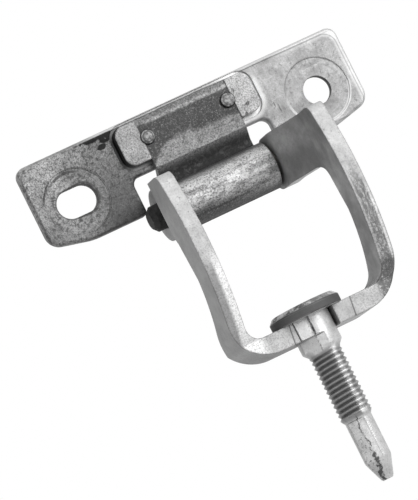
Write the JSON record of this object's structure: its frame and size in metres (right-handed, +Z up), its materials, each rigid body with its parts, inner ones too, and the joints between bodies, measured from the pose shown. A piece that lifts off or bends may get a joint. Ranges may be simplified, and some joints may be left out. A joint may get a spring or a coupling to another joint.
{
  "type": "tailgate hinge",
  "caption": "Swing hinge for a tailgate: slotted mounting plate with a rolled knuckle, and a swan-neck yoke carrying a threaded stud.",
  "frame": {"origin": "on the back face of the mounting plate, midway between its two bolt holes", "axes": "+X along the hinge pin towards the round hole, +Y into the panel that carries the plate, +Z up, away from the stud"},
  "size_m": [0.106, 0.0443, 0.1266],
  "materials": {
    "plate_steel": "galvanised, worn",
    "leaf_steel": "galvanised, stained",
    "button_steel": "staked steel",
    "bush_bronze": "sintered bronze",
    "yoke_steel": "forged, zinc plated",
    "pin_steel": "black phosphate",
    "stud_steel": "zinc plated"
  },
  "bodies": {
    "plate_side": {"mounting_plate": "plate_steel", "knuckle_leaf": "leaf_steel", "weld_button_left": "button_steel", "weld_button_right": "button_steel", "bush_left": "bush_bronze", "bush_right": "bush_bronze"},
    "stud_side": {"yoke": "yoke_steel", "hinge_pin": "pin_steel", "stud": "stud_steel"}
  },
  "joints": [
    {"name": "tailgate_swing", "type": "hinge", "parent": "plate_side", "child": "stud_side", "pos_m": [0, -0.0075, -0.0145], "axis": [1, 0, 0], "range_deg": [-65, 25]}
  ]
}
